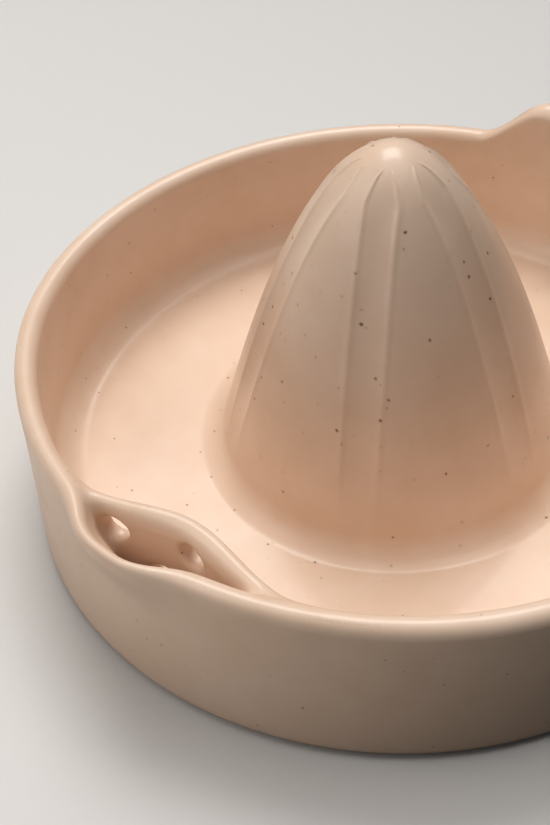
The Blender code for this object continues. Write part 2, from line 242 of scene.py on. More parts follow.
class MeshClay:
    """Clay inside a closed mesh."""

    def __init__(self, mesh: bpy.types.Mesh) -> None:
        """Keep the mesh's corners and a search tree of its faces."""
        self.corners = [vert.co.copy() for vert in mesh.vertices]
        self.faces = [tuple(face.vertices) for face in mesh.polygons]
        self.normals = normals_of(mesh)
        self.tree = BVHTree.FromPolygons(self.corners, self.faces)

    def sample(self, points: np.ndarray) -> tuple[np.ndarray, np.ndarray]:
        """Measure from points to the mesh.

        Args:
            points: One point a row.

        Returns:
            Signed gap of each point, and the smooth normal at the nearest place.
        """
        gaps = np.empty(len(points))
        normals = np.empty((len(points), 3))
        for row, point in enumerate(points):
            point = Vector(point)
            near, flat, face, gap = self.tree.find_nearest(point)
            corners = self.faces[face]
            shares = poly_3d_calc([self.corners[corner] for corner in corners], near)
            normal = np.asarray(shares) @ self.normals[list(corners)]
            gaps[row] = gap if (point - near).dot(flat) >= 0.0 else -gap
            normals[row] = normal
        return gaps, normals / np.linalg.norm(normals, axis=1, keepdims=True)


def union_of(
    first: tuple[np.ndarray, np.ndarray], second: tuple[np.ndarray, np.ndarray], blend: float
) -> tuple[np.ndarray, np.ndarray]:
    """Join two pieces of clay with a rounded inside corner.

    Args:
        first: Gaps and normals of the first piece.
        second: Gaps and normals of the second.
        blend: How far from the corner the rounding starts.

    Returns:
        Gaps and normals of both as one.
    """
    share = np.clip(0.5 + 0.5 * (second[0] - first[0]) / blend, 0.0, 1.0)
    gap = mix(second[0], first[0], share) - blend * share * (1.0 - share)
    normal = mix(second[1], first[1], share[:, None])
    length = np.linalg.norm(normal, axis=1)
    return gap / np.maximum(length, 0.2), normal / np.maximum(length, 1e-9)[:, None]


@dataclass(frozen=True)
class Luting:
    """How a piece is luted to the dish: fused with its skin, rounded, and sunk under it around."""

    voxel: float
    blend: float
    fade: float = 5.0 * MM
    sink: float = 0.006 * MM
    deep: float = 0.6 * MM
    hidden: float = 0.95 * MM
    rounds: int = 3

    def settle(self, mesh: bpy.types.Mesh, base: Clay, added: Clay) -> np.ndarray:
        """Move the mesh's skin onto the fused clay.

        Args:
            mesh: Fused mesh, changed in place.
            base: Clay that carries the piece.
            added: Clay of the piece itself.

        Returns:
            Normals of the fused clay at the vertices, and the mesh's own ones where it is hidden.
        """
        points = points_of(mesh)
        own = normals_of(mesh)
        other = added.sample(points)
        gap, normal = union_of(base.sample(points), other, self.blend)
        sunk = self.sink + self.deep * smooth_step(other[0], self.blend * 1.05, self.blend + self.fade)
        shown = smooth_step(gap, -self.hidden * 1.4, -self.hidden)
        set_points(mesh, points - ((gap + sunk) * shown)[:, None] * normal)
        blended = mix(own, normal, shown[:, None])
        return blended / np.linalg.norm(blended, axis=1, keepdims=True)

    def fuse(self, shells: list[bpy.types.Mesh], base: Clay, added: Clay, name: str) -> bpy.types.Mesh:
        """Make one skin of the piece and the part of the dish around it.

        Args:
            shells: Closed meshes that overlap.
            base: Clay that carries the piece.
            added: Clay of the piece itself.
            name: Name of the new mesh.

        Returns:
            The fused mesh, with the clay's own normals.
        """
        voxel = self.voxel * 1.0
        mesh = after_modifiers(joined(shells, name), [("REMESH", {"mode": "VOXEL", "voxel_size": voxel})])
        for _ in range(self.rounds):
            self.settle(mesh, base, added)
            bm = bmesh.new()
            bm.from_mesh(mesh)
            bmesh.ops.smooth_vert(
                bm, verts=bm.verts, factor=0.5, use_axis_x=True, use_axis_y=True, use_axis_z=True)
            bm.to_mesh(mesh)
            bm.free()
        for _ in range(self.rounds):
            normals = self.settle(mesh, base, added)
        mesh.name = name
        mesh.shade_smooth()
        mesh.normals_split_custom_set_from_vertices(normals)
        return mesh


class Board:
    """Nodes of a material or a group, wired by name."""

    def __init__(self, tree: bpy.types.NodeTree) -> None:
        """Start on a node tree."""
        self.tree = tree

    def add(self, kind: str, settings: dict | None = None, **inputs) -> bpy.types.Node:
        """Place a node.

        Args:
            kind: Blender's name of the node, without its ShaderNode prefix.
            settings: Properties of the node itself.
            **inputs: Values or sockets for its inputs, with _ for a space in their names.

        Returns:
            The node.
        """
        node = self.tree.nodes.new("ShaderNode" + kind)
        for key, value in (settings or {}).items():
            setattr(node, key, value)
        for key, value in inputs.items():
            self.feed(node.inputs[key.replace("_", " ")], value)
        return node

    def feed(self, socket: bpy.types.NodeSocket, value) -> None:
        """Give a socket a value, or wire another socket to it."""
        if isinstance(value, bpy.types.NodeSocket):
            self.tree.links.new(value, socket)
        elif isinstance(value, tuple) and socket.type == "RGBA":
            socket.default_value = (*value, 1.0)
        else:
            socket.default_value = value

    def sum(self, operation: str, first, second) -> bpy.types.NodeSocket:
        """Work out one number from two."""
        node = self.add("Math", {"operation": operation})
        self.feed(node.inputs[0], first)
        self.feed(node.inputs[1], second)
        return node.outputs[0]

    def blend(self, share, first, second, kind: str = "MIX") -> bpy.types.NodeSocket:
        """Blend two colours by a share."""
        node = self.add("Mix", {"data_type": "RGBA", "blend_type": kind})
        self.feed(node.inputs[0], share)
        self.feed(node.inputs[6], first)
        self.feed(node.inputs[7], second)
        return node.outputs[2]

    def ramp(
        self, value, low: float, high: float, first: float = 0.0, last: float = 1.0
    ) -> bpy.types.NodeSocket:
        """Bring a value smoothly from the range low..high to first..last."""
        node = self.add("MapRange", {"interpolation_type": "SMOOTHSTEP"}, Value=value)
        for key, number in (("From Min", low), ("From Max", high), ("To Min", first), ("To Max", last)):
            node.inputs[key].default_value = number
        return node.outputs[0]

    def across(self, vector, bearing: float, low: float, high: float) -> bpy.types.NodeSocket:
        """Rise smoothly from 0 to 1 along a bearing, between two lengths."""
        along = self.add("VectorMath", {"operation": "DOT_PRODUCT"})
        self.feed(along.inputs[0], vector)
        along.inputs[1].default_value = (math.cos(bearing), math.sin(bearing), 0.0)
        return self.ramp(along.outputs["Value"], low, high)

    def noise(self, vector, scale: float, detail: float) -> bpy.types.NodeSocket:
        """Soft noise, of scale features a metre."""
        return self.add("TexNoise", Vector=vector, Scale=scale, Detail=detail).outputs["Fac"]


def start_material(name: str) -> tuple[bpy.types.Material, Board, bpy.types.Node, bpy.types.NodeSocket]:
    """Start a material.

    Args:
        name: Name of the material.

    Returns:
        The material, its board, its shader and the place on the object.
    """
    made = bpy.data.materials.new(name)
    made.use_nodes = True
    board = Board(made.node_tree)
    spot = board.add("TexCoord").outputs["Object"]
    return made, board, made.node_tree.nodes["Principled BSDF"], spot


@dataclass(frozen=True)
class Speckle:
    """Iron specks and cloudy tone through the clay, the same on every piece; scales are per metre."""

    name: str = "clay_specks"
    cell_scale: float = 300.0
    wander_scale: float = 900.0
    wander: float = 0.5 * MM
    speck_edge: tuple[float, float] = (0.055, 0.100)
    halo_edge: tuple[float, float] = (0.06, 0.20)
    picked: tuple[float, float] = (0.25, 0.60)
    faintest: float = 0.25
    large_scale: float = 28.0
    small_scale: float = 160.0
    large_share: float = 0.65
    grain_scale: float = 1500.0
    grain_height: float = 0.05
    wave_scale: float = 55.0
    speck_pit: float = 0.02

    def group(self) -> bpy.types.NodeTree:
        """Make the group, or find it where another piece has it already.

        Returns:
            Group with the masks Specks and Halo, the tone Cloud and the grain Height.
        """
        found = bpy.data.node_groups.get(self.name)
        if found:
            return found
        tree = bpy.data.node_groups.new(self.name, "ShaderNodeTree")
        titles = ("Specks", "Halo", "Cloud", "Height")
        sockets = [("INPUT", "Vector", "Vector"), ("INPUT", "Speck Size", "Float")]
        for side, title, kind in sockets + [("OUTPUT", title, "Float") for title in titles]:
            tree.interface.new_socket(title, in_out=side, socket_type="NodeSocket" + kind)
        board = Board(tree)
        given = tree.nodes.new("NodeGroupInput").outputs
        spot = given["Vector"]

        wander = board.add("TexNoise", Vector=spot, Scale=self.wander_scale, Detail=1.0).outputs["Color"]
        centred = board.add("VectorMath", {"operation": "SUBTRACT"})
        board.feed(centred.inputs[0], wander)
        centred.inputs[1].default_value = (0.5, 0.5, 0.5)
        nudge = board.add("VectorMath", {"operation": "MULTIPLY_ADD"})
        board.feed(nudge.inputs[0], centred.outputs[0])
        nudge.inputs[1].default_value = (self.wander,) * 3
        board.feed(nudge.inputs[2], spot)
        cells = board.add("TexVoronoi", Vector=nudge.outputs[0], Scale=self.cell_scale, Randomness=1.0)
        edge = board.sum("DIVIDE", cells.outputs["Distance"], given["Speck Size"])
        picked = board.add("SeparateColor", Color=cells.outputs["Color"]).outputs["Red"]
        picked = board.ramp(picked, *self.picked, self.faintest, 1.0)
        specks = board.sum("MULTIPLY", board.ramp(edge, *self.speck_edge, 1.0, 0.0), picked)
        halo = board.sum("MULTIPLY", board.ramp(edge, *self.halo_edge, 1.0, 0.0), picked)

        large = board.sum("MULTIPLY", board.noise(spot, self.large_scale, 3.0), self.large_share)
        small = board.sum("MULTIPLY", board.noise(spot, self.small_scale, 3.0), 1.0 - self.large_share)
        grain = board.sum("MULTIPLY", board.noise(spot, self.grain_scale, 2.0), self.grain_height)
        height = board.sum("ADD", grain, board.noise(spot, self.wave_scale, 1.0))
        height = board.sum("SUBTRACT", height, board.sum("MULTIPLY", specks, self.speck_pit))
        out = tree.nodes.new("NodeGroupOutput")
        for title, value in zip(titles, (specks, halo, board.sum("ADD", large, small), height)):
            board.feed(out.inputs[title], value)
        return tree


@dataclass(frozen=True)
class SatinGlaze:
    """Peach satin glaze over speckled clay."""

    colour: Colour = (0.785, 0.580, 0.440)
    pale: Colour = (0.810, 0.612, 0.475)
    warm: Colour = (0.755, 0.545, 0.400)
    speck: Colour = (0.17, 0.09, 0.04)
    halo: Colour = (0.54, 0.36, 0.23)
    roughness: float = 0.40
    shine: float = 0.32
    coat: float = 0.30
    coat_roughness: float = 0.14
    speck_size: float = 0.62
    warm_cloud: tuple[float, float] = (0.36, 0.52)
    pale_cloud: tuple[float, float] = (0.50, 0.66)
    halo_share: float = 0.35
    speck_share: float = 0.9
    roughness_swing: float = 0.03
    bump: float = 0.25
    bump_height: float = 0.4 * MM

    def material(self, name: str) -> bpy.types.Material:
        """Mix the glaze.

        Args:
            name: Name of the material.

        Returns:
            The material.
        """
        made, board, shader, spot = start_material(name)
        clay = board.add("Group", {"node_tree": Speckle().group()}, Vector=spot, Speck_Size=self.speck_size)
        cloud = clay.outputs["Cloud"]
        tone = board.blend(board.ramp(cloud, *self.warm_cloud), self.warm, self.colour)
        tone = board.blend(board.ramp(cloud, *self.pale_cloud), tone, self.pale)
        tone = board.blend(board.sum("MULTIPLY", clay.outputs["Halo"], self.halo_share), tone, self.halo)
        tone = board.blend(board.sum("MULTIPLY", clay.outputs["Specks"], self.speck_share), tone, self.speck)
        board.feed(shader.inputs["Base Color"], tone)
        low, high = self.roughness - self.roughness_swing, self.roughness + self.roughness_swing
        board.feed(shader.inputs["Roughness"], board.ramp(cloud, 0.3, 0.7, high, low))
        shader.inputs["Specular IOR Level"].default_value = self.shine
        shader.inputs["Coat Weight"].default_value = self.coat
        shader.inputs["Coat Roughness"].default_value = self.coat_roughness
        bump = board.add("Bump", Height=clay.outputs["Height"], Strength=self.bump, Distance=self.bump_height)
        board.feed(shader.inputs["Normal"], bump.outputs["Normal"])
        return made


@dataclass(frozen=True)
class BareClay:
    """Unglazed stoneware with grog in it."""

    colour: Colour = (0.50, 0.37, 0.27)
    dark: Colour = (0.36, 0.25, 0.17)
    grog: Colour = (0.66, 0.53, 0.40)
    speck: Colour = (0.08, 0.05, 0.03)
    speck_size: float = 1.3
    speck_share: float = 0.8
    grit_scale: float = 1300.0
    roughness: float = 0.88
    roughest: float = 0.97
    bump: float = 0.6
    bump_height: float = 0.3 * MM

    def material(self, name: str) -> bpy.types.Material:
        """Fire the clay.

        Args:
            name: Name of the material.

        Returns:
            The material.
        """
        made, board, shader, spot = start_material(name)
        clay = board.add("Group", {"node_tree": Speckle().group()}, Vector=spot, Speck_Size=self.speck_size)
        grit = board.noise(spot, self.grit_scale, 4.0)
        tone = board.blend(board.ramp(clay.outputs["Cloud"], 0.35, 0.65), self.dark, self.colour)
        tone = board.blend(board.ramp(grit, 0.58, 0.72, 0.0, 0.7), tone, self.grog)
        tone = board.blend(board.sum("MULTIPLY", clay.outputs["Specks"], self.speck_share), tone, self.speck)
        board.feed(shader.inputs["Base Color"], tone)
        board.feed(shader.inputs["Roughness"], board.ramp(grit, 0.3, 0.7, self.roughness, self.roughest))
        bump = board.add("Bump", Height=grit, Strength=self.bump, Distance=self.bump_height)
        board.feed(shader.inputs["Normal"], bump.outputs["Normal"])
        return made


def set_piece(
    name: str, mesh: bpy.types.Mesh, material: bpy.types.Material, node: Node, slot: Slot
) -> bpy.types.Object:
    """Put a finished mesh in place of its solid.

    Args:
        name: Name of the piece.
        mesh: Its mesh, in place.
        material: Its finish.
        node: Solid that it stands for.
        slot: Record's slot for its finish; not used.

    Returns:
        The piece.
    """
    mesh.name = name
    mesh.materials.clear()
    mesh.materials.append(material)
    piece = place(name, mesh)
    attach(piece, "root")
    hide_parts(node.value)
    mesh.calc_loop_triangles()
    log.info("%s: %d triangles", name, len(mesh.loop_triangles))
    return piece


def shade(mesh: bpy.types.Mesh) -> bpy.types.Mesh:
    """Shade a mesh smooth, but for its sharp edges."""
    mesh.shade_smooth()
    mesh.set_sharp_from_angle(angle=SHARP_ANGLE)
    return mesh


@dataclass(frozen=True)
class Dish:
    """Thrown dish: floor, wall, rounded rim and pulled lip."""

    axis_x: float = -9.5 * MM
    rim_radius: float = 70.0 * MM
    rim_height: float = 33.5 * MM
    base_radius: float = 69.5 * MM
    wall: float = 4.6 * MM
    crown_radius: float = 67.7 * MM
    outer_round: float = 2.3 * MM
    inner_round: float = 2.3 * MM
    underside: float = 2.3 * MM
    floor_top: float = 7.6 * MM
    base_margin: float = 1.0 * MM
    base_edge: float = 1.8 * MM
    fillet: float = 6.0 * MM
    opening: float = 27.5 * MM
    opening_edge: float = 1.5 * MM
    recess: float = 62.3 * MM
    lip_bearing: float = math.pi
    lip_reach: float = 1.5 * MM
    lip_inner_reach: float = 3.7 * MM
    lip_depth: float = 13.0 * MM
    lip_angle: float = math.radians(8.6)
    pinch_left: float = 1.9 * MM
    pinch_right: float = 1.2 * MM
    pinch_inner_share: float = 0.55
    pinch_angle: float = math.radians(46.0)
    pinch_change: float = math.radians(10.0)
    pinch_power: float = 1.4
    pinch_from: float = 45.0 * MM
    pinch_full: float = 60.0 * MM
    lip_sector: float = math.radians(26.0)
    root_sector: float = math.radians(28.0)
    sector_steps: tuple[int, int, int] = (52, 84, 36)
    rise: float = 8.5 * MM
    rise_crown: float = 13.0 * MM
    rise_foot: float = 27.0 * MM
    rise_start: float = 17.6 * MM

    def outer_radius(self, height):
        """Outer face of the plain wall at a height."""
        part = (height - self.base_margin) / (self.rim_height - self.base_margin)
        return mix(self.base_radius, self.rim_radius, part)

    def inner_radius(self, height):
        """Inner face of the plain wall at a height."""
        return self.outer_radius(height) - self.wall

    def rim(self, depth: float) -> Line:
        """Cross-section over the rim, from outside inwards, at a depth in the clay."""
        outer_z = self.rim_height - self.outer_round
        inner_z = self.rim_height - self.inner_round
        across = self.outer_radius(outer_z) - self.crown_radius
        back = self.crown_radius - self.inner_radius(inner_z)
        outer = arc((self.crown_radius, outer_z), (across - depth, self.outer_round - depth), 0.0, 90.0, 12)
        inner = arc((self.crown_radius, inner_z), (back - depth, self.inner_round - depth), 90.0, 180.0, 12)
        return outer + inner[1:]

    def skin(self, depth: float, outer_from: float, floor_to: float) -> Line:
        """Cross-section of the wall and floor that shows from above.

        Args:
            depth: How far in the clay the line lies.
            outer_from: Height on the outer face at which it starts.
            floor_to: Radius on the floor at which it ends.

        Returns:
            The line as (radius, height).
        """
        fillet_z = self.floor_top + self.fillet
        fillet_r = self.inner_radius(fillet_z) - self.fillet
        rim = self.rim(depth)
        line = [(self.outer_radius(z) - depth, z) for z in even_steps(outer_from, rim[0][1], 1.5 * MM)[:-1]]
        line += rim
        line += [(self.inner_radius(z) + depth, z) for z in even_steps(rim[-1][1], fillet_z, 1.2 * MM)[1:-1]]
        line += arc((fillet_r, fillet_z), (self.fillet + depth,) * 2, 0.0, -90.0, 24)
        line += [(r, self.floor_top - depth) for r in even_steps(fillet_r, floor_to, 2.5 * MM)[1:]]
        return line

    def pinch(self, angle, height, wall_part):
        """How far the wall leans in beside the lip.

        Args:
            angle: Bearing of the place.
            height: Its height.
            wall_part: Its place in the wall, from 0 at the inner face to 1 at the outer one.

        Returns:
            The length that the place moves inwards.
        """
        offset = turn_between(angle, self.lip_bearing)
        side = smooth_step(offset, -self.pinch_change, self.pinch_change)
        most = mix(self.pinch_left, self.pinch_right, side) * mix(self.pinch_inner_share, 1.0, wall_part)
        up = np.clip((height - self.base_margin) / (self.rim_height - self.base_margin), 0.0, 1.0)
        return most * np.exp(-(offset / self.pinch_angle) ** 4) * (1.0 - (1.0 - up) ** self.pinch_power)

    def face(self, angle, height):
        """Inner face of the wall at a bearing and height, without the lip itself."""
        return self.inner_radius(height) - self.pinch(angle, height, 0.0)

    def throw(self, mesh: bpy.types.Mesh) -> bpy.types.Mesh:
        """Pull the lip out, sweep the rim up to the handle, and set the mesh on the dish's axis."""
        points = points_of(mesh)
        x, y, z = points.T
        radius = np.maximum(np.hypot(x, y), 1e-9)
        angle = np.arctan2(y, x)
        wall_part = np.clip((radius - self.inner_radius(z)) / self.wall, 0.0, 1.0)
        beak = np.exp(-np.abs(turn_between(angle, self.lip_bearing) / self.lip_angle) ** 3)
        beak *= smooth_step(z, self.rim_height - self.lip_depth, self.rim_height)
        pinch = self.pinch(angle, z, wall_part) * smooth_step(radius, self.pinch_from, self.pinch_full)
        pull = mix(-pinch, mix(self.lip_inner_reach, self.lip_reach, wall_part), beak)
        grow = 1.0 + pull / radius
        lift = self.rise * (1.0 - smooth_step(np.abs(y), self.rise_crown, self.rise_foot))
        lift *= smooth_step(z, self.rise_start, self.rim_height) * (x > 0.0)
        set_points(mesh, np.column_stack((x * grow + self.axis_x, y * grow, z + lift)))
        return mesh

    def profile(self) -> Line:
        """Closed cross-section, from the opening under the cone outwards."""
        line = arc((self.opening + self.opening_edge, self.underside + self.opening_edge),
                   (self.opening_edge,) * 2, 180.0, 270.0, 6)
        line += [(r, self.underside) for r in even_steps(line[-1][0], self.recess, 4.0 * MM)[1:]]
        margin = self.recess + self.underside - self.base_margin
        line += [(margin, self.base_margin)]
        edge = (self.base_radius - self.base_edge, self.base_margin + self.base_edge)
        line += arc(edge, (self.base_edge,) * 2, -90.0, 0.0, 8)
        return line + self.skin(0.0, edge[1], self.opening)[1:]

    def mesh(self) -> bpy.types.Mesh:
        """Throw the dish, with fine steps at the lip and the handle's root."""
        side = math.pi - self.lip_sector - self.root_sector
        half = list(zip((self.lip_sector, side, self.root_sector), self.sector_steps))
        bm = spin_line(self.profile(), self.lip_bearing, half + half[::-1], closed=True)
        return shade(self.throw(to_mesh(bm, "thrown_dish")))

    def patch(self, line: Line, bearing: float, spread: float, name: str) -> bpy.types.Mesh:
        """Closed slice of the dish about a bearing, for another piece to be fused with.

        Args:
            line: Closed cross-section of the slice.
            bearing: Bearing of its middle.
            spread: Angle to either side of it.
            name: Name of the mesh.

        Returns:
            The slice, with lip and rise as in the dish.
        """
        steps = round(2.0 * spread / math.radians(0.75))
        bm = spin_line(line, bearing - spread, [(2.0 * spread, steps)], closed=True)
        ends = [edge for edge in bm.edges if edge.is_boundary]
        bmesh.ops.holes_fill(bm, edges=ends, sides=0)
        bmesh.ops.recalc_face_normals(bm, faces=bm.faces)
        return self.throw(to_mesh(bm, name))


@dataclass(frozen=True)
class Cone:
    """Hollow juicing cone with six pressed flutes."""

    dish: Dish
    radius: float = 33.5 * MM
    height: float = 63.1 * MM
    taper: float = 0.520
    tip_wall: float = 7.0 * MM
    skirt: float = 4.0 * MM
    hem: float = 0.3 * MM
    lift: float = 0.004 * MM
    flutes: int = 6
    flute_bearing: float = math.radians(28.0)
    flute_half_width: float = 3.1 * MM
    flute_top_share: float = 0.84
    flute_depth: float = 0.62 * MM
    flute_top: float = 4.6 * MM
    flute_arch: float = 6.5 * MM
    flute_arch_power: float = 0.62
    flute_run_in: float = 12.0 * MM
    flute_edge: float = 0.12
    bead: float = 0.15 * MM
    bead_width: float = 0.20
    bead_top: float = 0.9
    fade_low: float = 3.0 * MM
    fade_high: float = 22.0 * MM
    bead_place: float = 1.10
    skin: float = 2.0 * MM
    tip_point: float = 0.2 * MM

    def plain_radius(self, height):
        """Outer radius of the cone above its skirt, at a height above the floor."""
        return self.radius * np.maximum(1.0 - height / self.height, 0.0) ** self.taper

    def outside(self) -> Line:
        """Outer cross-section from the tip to the hem of the skirt, heights from the floor."""
        drops = [(row / 130) ** 2 * self.height for row in range(1, 131)]
        heights = [self.height - drop for drop in drops if self.height - drop > self.skirt]
        line = [(0.0, self.height)] + [(float(self.plain_radius(h)), h) for h in heights]
        for step in range(19):
            angle = math.radians(90.0 * step / 18)
            h = self.skirt * (1.0 - math.sin(angle))
            line.append((float(self.plain_radius(h)) + self.skirt * (1.0 - math.cos(angle)), h + self.lift))
        last = line[-1][0]
        return line + [(last + self.hem / 2, self.lift), (last + self.hem, self.lift)]

    def hollow(self) -> Line:
        """Inner cross-section from under the floor's skin up to the top of the hollow."""
        base = self.dish.opening + 0.02 * MM
        top = self.height - self.tip_wall
        line = []
        for row in range(29):
            part = (1.0 - row / 28) ** 2
            line.append((base * part ** self.taper, mix(0.0, top, 1.0 - part)))
        return [(base, -self.hem)] + line

    def press_flutes(self, mesh: bpy.types.Mesh, along: np.ndarray, heights: np.ndarray) -> None:
        """Press the flutes into the outer skin.

        Args:
            mesh: Plain cone about its axis, changed in place.
            along: Lengths along the outer cross-section from the tip.
            heights: Heights that belong to them, falling.
        """
        points = points_of(mesh)
        x, y, z = points.T
        radius = np.hypot(x, y)
        outer = radius > self.plain_radius(z) - self.skin
        run = np.interp(z, heights[::-1], along[::-1])
        pitch = math.tau / self.flutes
        offset = turn_between(np.arctan2(y, x), self.flute_bearing)
        offset = offset - pitch * np.round(offset / pitch)
        arch = np.clip((run - self.flute_top) / self.flute_arch, 1e-4, 1.0) ** self.flute_arch_power
        widen = mix(self.flute_top_share, 1.0, smooth_step(run, self.flute_top, 10.0 * self.flute_top))
        from_middle = np.abs(radius * offset) / (self.flute_half_width * arch * widen)
        bowl = 1.0 - from_middle ** 2
        bowl = 0.5 * (bowl + np.sqrt(bowl ** 2 + self.flute_edge ** 2))
        bowl = np.where(from_middle < 3.0, bowl, 0.0) - 0.25 * self.flute_edge ** 2
        bowl = np.maximum(bowl, 0.0) * smooth_step(run, self.flute_top, self.flute_top + self.flute_run_in)
        bead = np.exp(-((from_middle - self.bead_place) / self.bead_width) ** 2)
        bead *= smooth_step(run, self.flute_top, self.flute_top + 0.2 * self.flute_arch)
        bead *= 1.0 + self.bead_top * (1.0 - smooth_step(run, self.flute_top, 2.0 * self.flute_run_in))
        fade = smooth_step(z, self.fade_low, self.fade_high) * outer
        depth = (self.flute_depth * bowl - self.bead * bead) * fade
        shrink = 1.0 - depth / np.maximum(radius, 1e-9)
        shrink[radius < self.tip_point] = 1.0
        set_points(mesh, np.column_stack((x * shrink, y * shrink, z)))

    def mesh(self) -> bpy.types.Mesh:
        """Throw the cone, press its flutes and stand it on the floor."""
        outside = self.outside()
        half = [(math.radians(18.0), 36), (math.radians(24.0), 8), (math.radians(18.0), 36)]
        line = outside + [(outside[-1][0], -self.hem)] + self.hollow()
        bm = spin_line(line, self.flute_bearing, half * self.flutes, closed=False)
        mesh = to_mesh(bm, "thrown_cone")
        path = np.array(outside)
        along = np.concatenate(([0.0], np.cumsum(np.linalg.norm(np.diff(path, axis=0), axis=1))))
        self.press_flutes(mesh, along, path[:, 1])
        set_points(mesh, points_of(mesh) + (self.dish.axis_x, 0.0, self.dish.floor_top))
        return shade(mesh)


@dataclass(frozen=True)
class Strainer:
    """Pierced wall that bulges in behind the lip."""

    dish: Dish
    bearing: float = math.radians(185.5)
    bulge: float = 9.35 * MM
    spread_low: float = math.radians(24.0)
    spread_high: float = math.radians(27.3)
    bend_end: float = 0.80
    thickness: float = 3.8 * MM
    thickness_end: float = 2.7 * MM
    crest_drop: float = 2.0 * MM
    crest_inner: float = 1.3 * MM
    crest_roll: float = 3.2 * MM
    root: float = 1.2 * MM
    embed: float = 0.9 * MM
    body_embed: float = 2.0 * MM
    run_out: float = 1.18
    hole: float = 4.8 * MM
    hole_pitch: float = math.radians(13.6)
    row_pitch: float = 8.6 * MM
    top_drop: float = 7.3 * MM
    rows: tuple[int, ...] = (3, 2)
    mouth: float = 1.4 * MM
    hole_shift: float = math.radians(1.5)
    bar: float = 16.0 * MM
    bar_back: float = 0.5 * MM
    probe: float = 0.02 * MM
    patch_angle: float = math.radians(41.0)
    patch_top: float = 28.0 * MM
    patch_back_top: float = 27.0 * MM
    patch_depth: float = 1.6 * MM
    patch_behind: float = 2.8 * MM
    luting: Luting = Luting(voxel=0.45 * MM, blend=2.6 * MM)

    def part_of_bulge(self, offset):
        """Share of the way from the bulge's middle to its end, at an angle from the middle."""
        return np.abs(offset) / np.where(offset > 0.0, self.spread_high, self.spread_low)

    def inset(self, offset):
        """How far the inner face stands in from the dish's wall, running into it at the ends."""
        part = self.part_of_bulge(offset)
        swell = 0.5 + 0.5 * np.cos(np.pi * np.minimum(part, self.bend_end))
        slope = 0.5 * math.pi * math.sin(math.pi * self.bend_end)
        return self.bulge * (swell - slope * np.maximum(part - self.bend_end, 0.0))

    def depth(self, offset):
        """Thickness of the wall, which is thinner towards its ends."""
        return mix(self.thickness, self.thickness_end, smooth_step(self.part_of_bulge(offset), 0.1, 0.8))

    def holes(self) -> list[tuple[float, float]]:
        """Bearing offset and height of each hole."""
        places = []
        for row, count in enumerate(self.rows):
            height = self.dish.rim_height - self.top_drop - self.row_pitch * row
            places += [(self.hole_shift + self.hole_pitch * (column - (count - 1) / 2), height)
                       for column in range(count)]
        return places

    def gap(self, points: np.ndarray) -> np.ndarray:
        """Distance from each point to the pierced wall, below zero inside.

        Args:
            points: One point a row, in place.

        Returns:
            The distances.
        """
        x, y, z = points[:, 0] - self.dish.axis_x, points[:, 1], points[:, 2]
        radius = np.hypot(x, y)
        angle = np.arctan2(y, x)
        offset = turn_between(angle, self.bearing)
        face = self.dish.face(angle, z)
        step = 1e-4
        slope = (self.inset(offset + step) - self.inset(offset - step)) / (2 * step * radius)
        across = (radius - face + self.inset(offset)) / np.sqrt(1.0 + slope ** 2)
        crest = self.dish.rim_height - self.crest_drop
        inner = np.hypot(
            np.minimum(across - self.crest_inner, 0.0), np.maximum(z - crest + self.crest_inner, 0.0))
        roll = self.depth(offset) - self.crest_inner
        beside = np.maximum(across - self.crest_inner, 1e-7)
        above = np.maximum(z - crest + self.crest_roll, 0.0)
        share = np.hypot(beside / roll, above / self.crest_roll)
        outer = share * (share - 1.0) / np.hypot(beside / roll ** 2, above / self.crest_roll ** 2)
        wall = np.where(across < self.crest_inner, inner - self.crest_inner, outer)
        bores = np.full(len(points), 1.0)
        for turn, height in self.holes():
            beside = radius * np.sin(offset - turn)
            bores = np.minimum(bores, np.hypot(beside, z - height) - self.hole / 2)
        share = np.clip(0.5 + 0.5 * (wall + bores) / self.mouth, 0.0, 1.0)
        pierced = mix(-bores, wall, share) + self.mouth * share * (1.0 - share)
        end = self.run_out * np.where(offset > 0.0, self.spread_high, self.spread_low)
        pierced = np.maximum(pierced, radius * (np.abs(offset) - end))
        return np.maximum(pierced, radius - face - self.embed)

    def sample(self, points: np.ndarray) -> tuple[np.ndarray, np.ndarray]:
        """Measure from points to the pierced wall, as Clay does."""
        slopes = []
        for axis in np.eye(3) * self.probe:
            slopes.append((self.gap(points + axis) - self.gap(points - axis)) / (2 * self.probe))
        normal = np.column_stack(slopes)
        length = np.maximum(np.linalg.norm(normal, axis=1), 0.3)
        return self.gap(points) / length, normal / length[:, None]

    def body(self) -> bpy.types.Mesh:
        """Loft the wall and pierce it."""
        crest = self.dish.rim_height - self.crest_drop
        bottom = self.dish.floor_top - self.root
        lean, roll = self.crest_inner, self.crest_roll
        rings = []
        ends = (-self.run_out * self.spread_low, self.run_out * self.spread_high)
        for offset in even_steps(*ends, math.radians(1.25)):
            depth = float(self.depth(offset))
            inner = [(0.0, z) for z in even_steps(bottom, crest - lean, 3.0 * MM)]
            crown = arc((lean, crest - lean), (lean, lean), 180.0, 90.0, 5)
            crown += arc((lean, crest - roll), (depth - lean, roll), 90.0, 0.0, 6)[1:]
            outer = [(depth, z) for z in even_steps(crest - roll, bottom, 3.0 * MM)]
            turn = Matrix.Rotation(self.bearing + offset, 3, "Z")
            ring = []
            for across, z in inner[:-1] + crown + outer[1:]:
                face = float(self.dish.face(self.bearing + offset, z))
                radius = min(face - float(self.inset(offset)) + across, face + self.body_embed)
                ring.append(turn @ Vector((radius, across * 1e-4, z)) + Vector((self.dish.axis_x, 0.0, 0.0)))
            rings.append(ring)
        return to_mesh(loft_rings(rings), "strainer_body")

